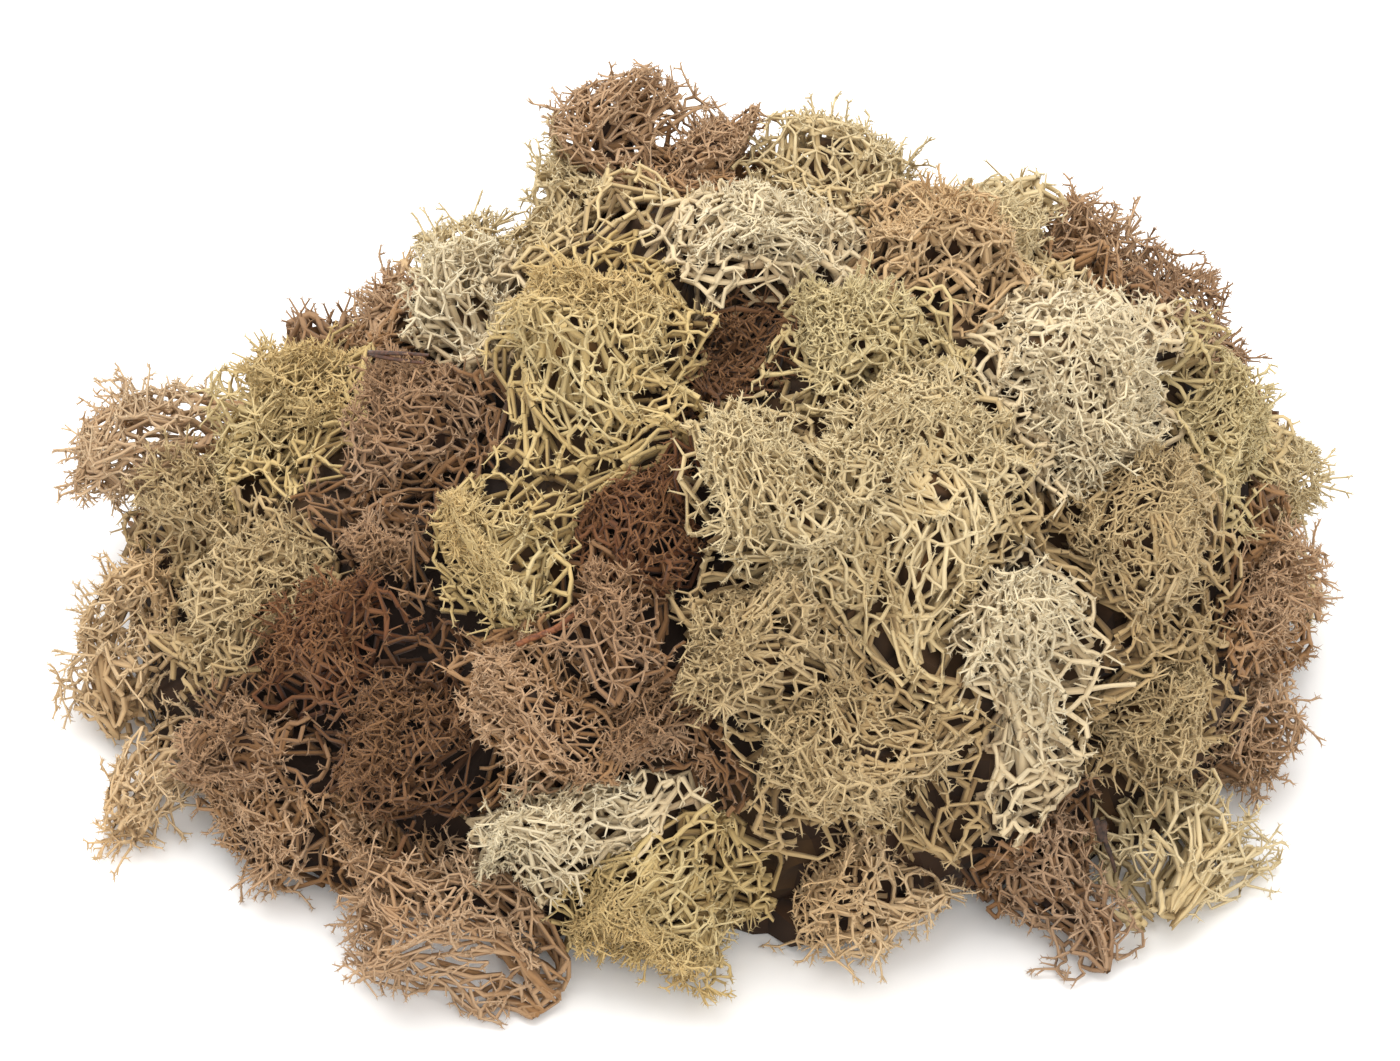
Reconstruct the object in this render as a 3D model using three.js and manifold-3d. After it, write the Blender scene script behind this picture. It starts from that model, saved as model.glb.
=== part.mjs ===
// A loose clump of reindeer moss, a Cladonia lichen, as picked and laid down.
// Millimetres, +Z up.  The origin lies on the surface that the clump rests on, under its middle.
// The clump is many separate tufts that lean on each other.  A tuft is a stalk that widens into a
// crown of forked twigs.  Crowns point outwards, roots meet low inside the clump.
import * as THREE from "three";
import { mergeVertices } from "three/addons/utils/BufferGeometryUtils.js";
import Module from "manifold-3d";

const wasm = await Module();
wasm.setup();

// The mound that the crowns make together.  Left of TAPER_FROM it gets lower and shallower.
const HALF_WIDTH = 95;
const FRONT_DEPTH = 76;
const BACK_DEPTH = 60;
const HEIGHT = 82;
const PLAN_POWER = 2.4;
const TAPER_FROM = -10;
const TAPER_PER_MM = 0.006;
// The middle of the clump's bounds, which becomes the origin.
const MIDDLE = [0.5, -8];

// Tufts are set out on two drawing planes, one that leans back over the front of the mound and one
// that leans forward over its back, and are dropped from there onto the mound.
const LEAN = THREE.MathUtils.degToRad(46);
const ROOT_DEPTH = 12;
const ROOT_RADIUS = 3.6;
// How much a crown swells past its stated radius where its neighbours leave it room, and how deep its
// middle then lies under the mound's surface, in swollen radii.
const SWELL = 1.58;
const SINK = 0.92;
// The least height of a crown's middle over the ground, in radii, and how fast a stalk widens.
const SETTLE = 0.62;
const FLARE = 0.8;
// Flat gap between two tufts, and how far from each other their round forms stop to matter.
const GAP = 0.5;
const NEIGHBOUR_SHARE = 1.15;
// The furthest that a tip stands out, as a share of the round form.
const FURTHEST = 1.06;

// Crowns: a solid heart, twigs that stand out of it, and their forks near the surface, as shares of
// the round form.  Belts of points round the axis make the heart, three to five points to a belt.
const HEART = 0.68;
const HEART_START = 0.3;
const FOOT_DEPTH = 0.7;
const FORK_AT = 0.84;
const FORK_TOP = 0.7;
const ARM_REACH = [0.93, 1.04];
const ARM_SPREAD = [0.58, 0.78];
const TWIG_RADIUS = 1.1;
const UNEVEN = 0.08;
const FOUR_SIDED = 14.8;
const FIVE_SIDED = 18.2;
const BELT_SPACING = 13;
// How far under a crown's middle its widest belt lies, in crown radii, and the last belt's height
// over the middle and radius, in heart radii.
const WIDEST_UNDER = 0.05;
const HIGH_BELT_AT = 0.62;
const HIGH_BELT_RADIUS = 0.74;

const SHADES = {
  gold: "#b39862",
  cream: "#c9bc8f",
  green: "#bdb284",
  pale: "#d6c9ad",
  tan: "#b09670",
  taupe: "#8c7358",
  brown: "#7e5f4a",
  rust: "#8a5c3e",
  dark: "#4f382a",
};

// Front tufts: node, shade, crown across and up, crown radius, root across and up, how proud.
const FRONT = [
  ["brown_peak", "brown", -10, 74, 8, -8, 54, 0],
  ["taupe_crest", "taupe", 2, 69, 8, 2, 52, 0],
  ["cream_crest", "cream", 21, 63, 10.5, 17, 46, 0],
  ["pale_saddle", "pale", 9, 54, 8, 4, 42, 1],
  ["cream_spire", "cream", -18, 61, 8.5, -17, 42, 1],
  ["cream_spire", "cream", -34, 55, 5, -17, 42, 0],
  ["pale_shoulder", "pale", -33, 46, 8.5, -25, 33, 1],
  ["brown_shoulder", "brown", -46, 44, 6, -40, 33, 0],
  ["gold_dome", "gold", -59, 28, 12.5, -73, 6, 3],
  ["left_spray", "rust", -84, 25, 9, -71, 26, 0],
  ["cream_flank", "cream", -75, 16, 7.5, -77, -6, 1],
  ["cream_flank", "cream", -64, 4, 8, -77, -6, 2],
  ["left_stalks", "tan", -83, 1, 7, -84, -18, 0],
  ["left_stalks", "tan", -88, -13, 5, -84, -18, 0],
  ["left_corner", "tan", -81, -25, 7, -66, -20, 0],
  ["taupe_left", "taupe", -65, -19, 9.5, -54, -23, 1],
  ["rust_left", "rust", -53, -4, 9, -46, -12, 1],
  ["brown_net", "brown", -43, -17, 10, -34, -19, 0],
  ["centre_crown", "gold", -15, 39, 11.5, -12, 16, 4],
  ["grey_hollow", "taupe", -39, 27, 11, -33, 15, -4],
  ["grey_hollow", "taupe", -47, 10, 6.5, -33, 15, -1],
  ["small_gold", "gold", -28, 11, 7.5, -15, 6, 3],
  ["rust_heart", "rust", -7, 10, 8, -3, -1, -7],
  ["dark_hollow", "dark", 7, 33, 11, 9, 20, -11],
  ["green_crown", "green", 22, 39, 9.5, 27, 24, 3],
  ["tan_bridge", "tan", 35, 52, 9, 34, 36, 0],
  ["front_crown", "cream", 10, 20, 9, 34, -13, 6],
  ["front_crown", "cream", 30, 21, 12.5, 34, -13, 6],
  ["front_curtain", "cream", 7, -4, 9, 35, -27, 4],
  ["front_curtain", "cream", 22, -19, 10, 35, -27, 4],
  ["front_side_spray", "pale", 46, -2, 8, 46, -34, 5],
  ["weeping_pale", "pale", 55, 30, 12.5, 40, 42, 5],
  ["far_cream", "cream", 45, 57, 6, 46, 45, 0],
  ["brown_crest", "brown", 58, 53, 7.5, 56, 41, 0],
  ["taupe_right", "taupe", 70, 42, 10, 63, 27, 0],
  ["cream_right", "green", 74, 26, 9, 64, 14, 0],
  ["gold_right", "gold", 63, 13, 11, 63, -12, 4],
  ["rim_cream", "cream", 86, 17, 8.5, 76, 8, 0],
  ["brown_right", "brown", 80, 2, 11, 70, -4, 1],
  ["brown_right_low", "brown", 80, -18, 7.5, 70, -15, 0],
  ["tan_right_low", "green", 65, -15, 9, 58, -26, 1],
  ["right_low_spray", "cream", 66, -30, 9, 70, -43, 1],
  ["right_low_spray", "cream", 76, -37, 6, 70, -43, 0],
  ["brown_low_right", "taupe", 50, -36, 9, 57, -48, 1],
  ["bottom_gold", "gold", -6, -40, 12, 5, -30, 3],
  ["bottom_gold", "gold", -4, -51, 5.5, 5, -30, 1],
  ["pale_bottom", "pale", -19, -28, 9.5, -4, -24, 2],
  ["bottom_fringe", "tan", 21, -40, 8, 36, -38, 0],
  ["bottom_spray", "brown", -40, -44, 12.5, -22, -50, 1],
  ["tan_tangle", "tan", -22, -14, 11, -24, -28, 1],
  ["taupe_tangle", "taupe", -5, -13, 9, -1, -18, 0],
  ["taupe_tangle", "taupe", -13, 0, 6, -1, -18, 1],
  ["taupe_low_left", "taupe", -63, -32, 8, -50, -29, 0],
  ["taupe_low_left", "taupe", -47, -34, 7, -50, -29, 0],
];

// Back tufts, the same, as seen from behind with +X still counted as across.
const BACK = [
  ["back_left", "taupe", -72, -10, 10, -54, -4, 0],
  ["back_left", "taupe", -56, 4, 8, -54, -4, 0],
  ["back_left_low", "brown", -56, -26, 12, -42, -22, 0],
  ["back_left_shoulder", "tan", -38, 4, 11, -34, -4, 0],
  ["back_low", "taupe", -29, -32, 12, -22, -22, 0],
  ["back_brown", "brown", -21, -10, 12, -14, -14, 0],
  ["back_brown", "brown", -13, 12, 8, -14, -14, 0],
  ["back_pale", "pale", 0, -34, 12, 2, -24, 0],
  ["back_tan", "tan", 6, -9, 12, 7, -12, 0],
  ["back_cream", "cream", 28, -33, 12, 24, -22, 0],
  ["back_taupe", "taupe", 33, -8, 12, 28, -14, 0],
  ["back_taupe", "taupe", 22, 13, 8, 28, -14, 0],
  ["back_right", "cream", 58, -8, 12, 48, -14, 0],
  ["back_right", "cream", 46, 13, 7, 48, -14, 0],
  ["back_right_low", "tan", 55, -32, 11, 46, -24, 0],
  ["back_corner", "brown", 80, -18, 10, 64, -16, 0],
];

// The old dead stems under the middle, pressed flat where they carry the clump.
const OLD_STEMS = { node: "old_stems", shade: "dark", middle: [2, -12], radius: 16, height: 20 };

// Litter caught on the front: node, colour, the radius it fits in, its two ends across and up, how
// proud of the mound, and its rods.  A rod has its two ends as [share of the length, sideways] and
// its two radii.
const LITTER = [
  ["pine_needles", "#3a2416", 1, [-48.5, 38.5], [-39.5, 37.5], 0.5,
    [[[0, 0.1], [1, 0.6], 0.45, 0.3], [[0.01, -0.12], [0.94, -0.6], 0.42, 0.3]]],
  ["rusty_twig", "#6d3f22", 1, [-26, -4], [-17.5, 0.5], -1,
    [[[0, 0.3], [0.62, -0.32], 0.45, 0.55], [[0.58, -0.28], [1, 0.4], 0.48, 0.4],
      [[0.5, -0.2], [0.8, -0.75], 0.36, 0.3]]],
  ["bark_flake", "#2e2019", 1.2, [57.5, -29], [60, -37], 0,
    [[[0, -0.4], [0.36, -0.2], 0.5, 0.8], [[0.08, 0.4], [0.4, 0], 0.7, 0.5],
      [[0.3, 0], [1, 0.3], 0.45, 0.3]]],
];
const ROD_SIDES = 5;

// A fork whose tips would come this near to another tuft of its own plant is left off, as a share of
// that tuft's round form.
const KIN_CLEARANCE = 1.1;

// Step of the search for the mound's surface, and first and last step of the search for the place
// where two tufts meet, as shares of their length.
const DROP_STEP = 0.5;
const MEET_STEPS = [0.25, 0.002];

const clamp = THREE.MathUtils.clamp;
const lerp = THREE.MathUtils.lerp;

// A steady random number from 0 to 1 for any list of whole numbers.
function chance(...keys) {
  let mix = 0x9e3779b9;
  for (const key of keys) {
    mix = Math.imul(mix ^ (key + 0x7f4a7c15), 0x85ebca6b);
    mix ^= mix >>> 13;
    mix = Math.imul(mix, 0xc2b2ae35);
    mix ^= mix >>> 16;
  }
  return (mix >>> 0) / 2 ** 32;
}

// Below 1 inside the mound drawn in by inset, 1 on its surface.
function moundLevel(point, inset) {
  const taper = 1 - TAPER_PER_MM * Math.max(0, TAPER_FROM - point.x);
  const depth = (point.y < 0 ? FRONT_DEPTH : BACK_DEPTH * taper) - inset;
  const height = HEIGHT * taper - inset;
  const section = Math.hypot(point.y / depth, point.z / height);
  const across = Math.abs(point.x) / (HALF_WIDTH - inset);
  return across ** PLAN_POWER + section ** PLAN_POWER;
}

// The point where a line square to the drawing plane first meets the mound, or passes nearest to it.
function dropOnMound(across, up, side, inset, proud) {
  const rise = new THREE.Vector3(0, side * Math.sin(LEAN), Math.cos(LEAN));
  const out = new THREE.Vector3(0, -side * Math.cos(LEAN), Math.sin(LEAN));
  const start = rise.clone().multiplyScalar(up).setX(across);
  let nearest = null;
  let least = Infinity;
  for (let height = HALF_WIDTH * 1.5; height > -HALF_WIDTH && least > 1; height -= DROP_STEP) {
    const point = start.clone().addScaledVector(out, height);
    const level = moundLevel(point, inset);
    if (level < least) {
      least = level;
      nearest = point;
    }
  }
  return nearest.addScaledVector(out, proud);
}

// Lifts a point to at least the height that a round form of that radius needs, along the drawing
// plane's line of sight.
function clearOfGround(point, height, side) {
  if (point.z >= height) return point;
  point.y += side * (point.z - height) / Math.tan(LEAN);
  point.z = height;
  return point;
}

// Tufts of one node are one plant and share the first one's root.
const roots = new Map();

function tuftOf([node, shade, across, up, stated, rootAcross, rootUp, proud], number, side) {
  const radius = SWELL * stated;
  const crown = dropOnMound(across, up, side, SINK * radius, proud);
  clearOfGround(crown, SETTLE * radius, side);
  if (!roots.has(node)) {
    const root = dropOnMound(rootAcross, rootUp, side, SINK * radius + ROOT_DEPTH, proud);
    roots.set(node, clearOfGround(root, ROOT_RADIUS, side));
  }
  const root = roots.get(node);
  const along = crown.clone().sub(root);
  return { node, shade, number, crown, root, radius, rootRadius: ROOT_RADIUS, length: along.length(),
    along: along.normalize(), walls: [] };
}

// Old stems stand on their flat foot, which is as wide as their crown.
function oldStems({ node, shade, middle, radius, height }, number) {
  const root = new THREE.Vector3(...middle, 0);
  const along = new THREE.Vector3(0, 0, 1);
  const crown = root.clone().addScaledVector(along, height);
  return { node, shade, number, crown, root, radius, rootRadius: radius, length: height, along,
    flatFoot: true, walls: [] };
}

const tufts = [
  ...FRONT.map((row, i) => tuftOf(row, i, 1)),
  ...BACK.map((row, i) => tuftOf(row, FRONT.length + i, -1)),
  oldStems(OLD_STEMS, FRONT.length + BACK.length),
];

const litter = LITTER.map(([node, color, girth, from, to, proud, rods]) => {
  const root = dropOnMound(...from, 1, 0, proud);
  const along = dropOnMound(...to, 1, 0, proud).sub(root);
  return { node, color, girth, rods, root, radius: girth, rootRadius: girth, length: along.length(),
    along: along.normalize() };
});

// The flat gap between two tufts.  Both round forms, swollen by the same share, first touch on it.
function divide(a, b) {
  const at = (tuft, t) => tuft.root.clone().addScaledVector(tuft.along, t * tuft.length);
  const girth = (tuft, t) => lerp(tuft.rootRadius, tuft.radius, t);
  let best = { share: Infinity, ta: 0.5, tb: 0.5 };
  for (let step = MEET_STEPS[0]; step > MEET_STEPS[1]; step /= 2) {
    const { ta: middleA, tb: middleB } = best;
    for (let i = -2; i <= 2; i++)
      for (let j = -2; j <= 2; j++) {
        const ta = clamp(middleA + i * step, 0, 1);
        const tb = clamp(middleB + j * step, 0, 1);
        const share = at(a, ta).distanceTo(at(b, tb)) / (girth(a, ta) + girth(b, tb));
        if (share < best.share) best = { share, ta, tb };
      }
  }
  if (best.share > NEIGHBOUR_SHARE) return;
  const normal = at(b, best.tb).sub(at(a, best.ta)).normalize();
  if (!b.walls) {
    const reach = normal.dot(at(b, best.tb)) - b.girth - GAP;
    a.walls.push({ normal, reach });
    return;
  }
  const reach = normal.dot(at(a, best.ta)) + best.share * girth(a, best.ta);
  a.walls.push({ normal, reach: reach - GAP / 2 });
  b.walls.push({ normal: normal.clone().negate(), reach: -reach - GAP / 2 });
}

for (const a of tufts) {
  a.walls.push({ normal: new THREE.Vector3(0, 0, -1), reach: 0 });
  for (const b of tufts) if (b.number > a.number && b.node !== a.node) divide(a, b);
  for (const b of litter) divide(a, b);
}

// The radius of a tuft's round form at a height along its axis.
function girthAt(tuft, height) {
  const share = clamp(height / tuft.length, 0, 1);
  return lerp(tuft.rootRadius, tuft.radius, share ** FLARE);
}

// Presses a point of a tuft in towards its axis, so that all that lies out to its round form's
// surface fits inside the tuft's walls.
function press(tuft, point) {
  const height = clamp(point.clone().sub(tuft.root).dot(tuft.along), 0, tuft.length);
  const anchor = tuft.root.clone().addScaledVector(tuft.along, height);
  const offset = point.clone().sub(anchor);
  const distance = offset.length();
  if (distance < 1e-6) return point;
  const heading = offset.clone().divideScalar(distance);
  const full = girthAt(tuft, height) * FURTHEST;
  let room = full;
  for (const { normal, reach } of tuft.walls) {
    const slope = normal.dot(heading);
    if (slope > 1e-6) room = Math.min(room, (reach - normal.dot(anchor)) / slope);
  }
  return anchor.addScaledVector(heading, Math.min(distance / full, 1) * room);
}

// Whether a point lies within another tuft of the same plant.
function withinKin(tuft, point) {
  return tufts.some((kin) => {
    if (kin === tuft || kin.node !== tuft.node) return false;
    const height = clamp(point.clone().sub(kin.root).dot(kin.along), 0, kin.length);
    const anchor = kin.root.clone().addScaledVector(kin.along, height);
    return point.distanceTo(anchor) < girthAt(kin, height) * KIN_CLEARANCE;
  });
}

// A closed mesh that grows: a list of points and a list of faces, each three point numbers.
class Growth {
  points = [];
  faces = [];

  point(at) {
    return this.points.push(at) - 1;
  }

  // A three-armed fork on the face a, b, c: a twig up to a ring of three points, which stand over
  // the face's edges, and an arm from there out over each of its corners.
  fork([a, b, c], anchor, girth, random) {
    const [pa, pb, pc] = [a, b, c].map((i) => this.points[i]);
    const middle = pa.clone().add(pb).add(pc).divideScalar(3);
    const heading = middle.clone().sub(anchor).normalize();
    const forkAt = girth * FORK_AT * lerp(1 - UNEVEN / 2, 1 + UNEVEN / 2, random(0));
    const neck = anchor.clone().addScaledVector(heading, forkAt);
    const beside = (p, q) => {
      const offset = p.clone().add(q).multiplyScalar(0.5).sub(middle);
      offset.addScaledVector(heading, -offset.dot(heading)).setLength(TWIG_RADIUS);
      return this.point(neck.clone().add(offset));
    };
    const ab = beside(pa, pb);
    const bc = beside(pb, pc);
    const ca = beside(pc, pa);
    const top = this.point(neck.clone().addScaledVector(heading, TWIG_RADIUS * FORK_TOP));
    this.faces.push([a, b, ab], [b, bc, ab], [b, c, bc], [c, ca, bc], [c, a, ca], [a, ab, ca]);
    const arm = (p, q, corner, key) => {
      const way = corner.clone().sub(anchor).normalize();
      way.lerp(heading, 1 - lerp(...ARM_SPREAD, random(key))).normalize();
      const reach = girth * lerp(...ARM_REACH, random(key + 3));
      const tip = this.point(anchor.clone().addScaledVector(way, reach));
      this.faces.push([p, q, tip], [q, top, tip], [top, p, tip]);
    };
    arm(ca, ab, pa, 1);
    arm(ab, bc, pb, 2);
    arm(bc, ca, pc, 3);
  }
}

// One crown on its stalk: rings of points round the axis make the heart, whose faces fork.
function growTuft(tuft) {
  const growth = new Growth();
  const sides = tuft.radius < FOUR_SIDED ? 3 : tuft.radius < FIVE_SIDED ? 4 : 5;
  const across = new THREE.Vector3(0, 0, 1).cross(tuft.along);
  if (across.length() < 0.1) across.set(1, 0, 0);
  across.normalize();
  const upward = tuft.along.clone().cross(across);
  const spin = chance(tuft.number, 1) * Math.PI * 2;
  const ring = (height, radius, turn) => Array.from({ length: sides }, (_, i) => {
    const angle = spin + ((i + turn) / sides) * Math.PI * 2;
    const uneven = radius * lerp(1 - UNEVEN, 1 + UNEVEN, chance(tuft.number, i, Math.round(height * 10)));
    return growth.point(tuft.root.clone().addScaledVector(tuft.along, height)
      .addScaledVector(across, Math.cos(angle) * uneven)
      .addScaledVector(upward, Math.sin(angle) * uneven));
  });
  const fork = (face) => {
    const middle = face.reduce((sum, i) => sum.add(growth.points[i]), new THREE.Vector3()).divideScalar(3);
    const height = clamp(middle.clone().sub(tuft.root).dot(tuft.along), 0, tuft.length);
    const anchor = tuft.root.clone().addScaledVector(tuft.along, height);
    const tip = anchor.clone().lerp(middle, 1 / HEART);
    if (withinKin(tuft, press(tuft, tip))) {
      growth.faces.push(face);
      return;
    }
    const key = growth.faces.length;
    growth.fork(face, anchor, girthAt(tuft, height), (k) => chance(tuft.number, key, k));
  };
  // A strip of faces from one belt up to the next, which is turned by half a side.
  const strip = (below, above, forkWide) => {
    for (let i = 0; i < sides; i++) {
      const next = (i + 1) % sides;
      const wide = [below[i], below[next], above[i]];
      if (forkWide) fork(wide);
      else growth.faces.push(wide);
      fork([below[next], above[next], above[i]]);
    }
  };
  const cap = (belt, centre, forked) => {
    for (let i = 0; i < sides; i++) {
      const face = [belt[i], belt[(i + 1) % sides], centre];
      if (forked) fork(face);
      else growth.faces.push(face.reverse());
    }
  };

  const heart = HEART * tuft.radius;
  const lowest = tuft.flatFoot ? 0 : HEART_START * tuft.length;
  const widest = tuft.length - WIDEST_UNDER * tuft.radius;
  const strips = Math.max(1, Math.round((widest - lowest) / BELT_SPACING));
  let belt = ring(lowest, HEART * girthAt(tuft, lowest), 0);
  const footDepth = tuft.flatFoot ? 0 : FOOT_DEPTH * tuft.rootRadius;
  const foot = growth.point(tuft.root.clone().addScaledVector(tuft.along, -footDepth));
  cap(belt, foot, false);
  for (let i = 1; i <= strips; i++) {
    const height = lerp(lowest, widest, i / strips);
    const above = ring(height, HEART * girthAt(tuft, height), i / 2);
    strip(belt, above, false);
    belt = above;
  }
  const high = ring(tuft.length + HIGH_BELT_AT * heart, HIGH_BELT_RADIUS * heart, (strips + 1) / 2);
  strip(belt, high, true);
  cap(high, growth.point(tuft.crown.clone().addScaledVector(tuft.along, heart)), true);
  growth.points = growth.points.map((point) => press(tuft, point));
  return growth;
}

function solidOf(points, faces) {
  return new wasm.Manifold(new wasm.Mesh({
    numProp: 3,
    vertProperties: new Float32Array(points),
    triVerts: new Uint32Array(faces),
  }));
}

function tuftSolid(tuft) {
  const { points, faces } = growTuft(tuft);
  return solidOf(points.flatMap((point) => point.toArray()), faces.flat());
}

const CYLINDER_AXIS = new THREE.Vector3(0, 1, 0);

// A straight tapered rod of a piece of litter, its ends given along and beside the piece's axis.
function rodSolid(piece, [from, to, fromRadius, toRadius]) {
  const beside = new THREE.Vector3(0, -Math.cos(LEAN), Math.sin(LEAN)).cross(piece.along).normalize();
  const [start, end] = [from, to].map(([share, side]) => piece.root.clone()
    .addScaledVector(piece.along, share * piece.length)
    .addScaledVector(beside, side));
  const way = end.clone().sub(start);
  const rod = new THREE.CylinderGeometry(toRadius, fromRadius, way.length(), ROD_SIDES);
  rod.applyQuaternion(new THREE.Quaternion().setFromUnitVectors(CYLINDER_AXIS, way.clone().normalize()));
  rod.translate(...start.add(end).multiplyScalar(0.5).toArray());
  rod.deleteAttribute("normal");
  rod.deleteAttribute("uv");
  const merged = mergeVertices(rod, 1e-4);
  return solidOf(merged.attributes.position.array, merged.index.array);
}

const SLIVER = 0.02;

// The solids of one node joined, without faces thinner than a sliver.  Of what comes apart only the
// largest piece stays, which also fills any hollow that joining has sealed.
function meshOf(name, solids, color) {
  const pieces = wasm.Manifold.union(solids).decompose();
  const whole = pieces.reduce((a, b) => (b.volume() > a.volume() ? b : a));
  const { vertProperties, triVerts } = whole.simplify(SLIVER).getMesh();
  const geometry = new THREE.BufferGeometry();
  geometry.setAttribute("position", new THREE.BufferAttribute(vertProperties, 3));
  geometry.setIndex(new THREE.BufferAttribute(triVerts, 1));
  geometry.computeVertexNormals();
  const material = new THREE.MeshStandardMaterial({ color, roughness: 0.95, metalness: 0 });
  const mesh = new THREE.Mesh(geometry, material);
  mesh.name = name;
  return mesh;
}

const clump = new THREE.Group();
for (const node of new Set(tufts.map((tuft) => tuft.node))) {
  const own = tufts.filter((tuft) => tuft.node === node);
  clump.add(meshOf(node, own.map(tuftSolid), SHADES[own[0].shade]));
}
for (const piece of litter)
  clump.add(meshOf(piece.node, piece.rods.map((rod) => rodSolid(piece, rod)), piece.color));
clump.position.set(-MIDDLE[0], -MIDDLE[1], 0);

export default clump;
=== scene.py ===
import math

import bpy
import numpy as np
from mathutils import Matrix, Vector
from mathutils.kdtree import KDTree


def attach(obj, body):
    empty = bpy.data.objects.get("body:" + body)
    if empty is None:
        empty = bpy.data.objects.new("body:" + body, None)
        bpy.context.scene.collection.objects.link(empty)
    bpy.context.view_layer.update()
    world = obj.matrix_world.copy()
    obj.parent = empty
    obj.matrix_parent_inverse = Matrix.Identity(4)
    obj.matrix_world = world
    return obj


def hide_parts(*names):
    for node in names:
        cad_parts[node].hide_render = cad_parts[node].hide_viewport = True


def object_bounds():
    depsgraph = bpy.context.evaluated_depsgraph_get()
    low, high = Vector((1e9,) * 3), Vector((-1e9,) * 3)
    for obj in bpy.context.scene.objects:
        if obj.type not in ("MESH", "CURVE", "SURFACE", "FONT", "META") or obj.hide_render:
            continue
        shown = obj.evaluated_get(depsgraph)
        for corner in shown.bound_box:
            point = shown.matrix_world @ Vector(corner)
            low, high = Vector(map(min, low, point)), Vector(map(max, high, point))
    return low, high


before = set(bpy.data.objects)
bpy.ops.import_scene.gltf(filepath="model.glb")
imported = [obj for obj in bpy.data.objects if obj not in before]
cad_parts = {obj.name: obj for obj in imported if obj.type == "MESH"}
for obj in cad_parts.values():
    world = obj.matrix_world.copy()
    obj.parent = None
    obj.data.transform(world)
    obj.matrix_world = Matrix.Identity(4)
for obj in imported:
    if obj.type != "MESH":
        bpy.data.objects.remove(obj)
cad_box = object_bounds()

# The heap.  Reindeer lichen grows as stalks that fork over and over into a crown.  Pulled up and laid
# down dry, some seventy tufts hold on to each other by their twigs alone: crowns out, roots inside.
# The clump is worked out in millimetres until a mesh is made.  Its table, lamps and camera are in metres.

# The heap's size about its middle, and how it falls off towards its left end.
HALF_WIDTH = 95
FRONT_DEPTH = 76
BACK_DEPTH = 60
HEIGHT = 80
PLAN_POWER = 2.4
TAPER_FROM = -10
TAPER_PER_MM = 0.006
MIDDLE = np.array([0.5, -8, 0])

# Tufts are set out on a plane that leans back, and dropped on the heap in steps square to it.  Their
# crowns are sunk in it by a share of their radius, and their roots lie deeper.
LEAN = math.radians(46)
DROP_STEP = 0.5
SWELL = 1.05
SINK = 0.92
CROWN_CLEAR = 0.62
ROOT_DEPTH = 12
ROOT_RADIUS = 5.0
FLARE = 0.7

# How ragged the border between two tufts is.
NOISE_WAVES = 8
RAGGED = 2.0
RAGGED_LENGTH = 9
RAGGED_SEED = 11

# How much of its height over the heap a pressed tuft keeps, and the outer tufts that nothing pressed.
LEFT_STANDING = 0.4
STANDING_OUT = ("brown_peak", "left_spray", "left_stalks", "left_corner", "bottom_spray",
                "right_low_spray")

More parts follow.
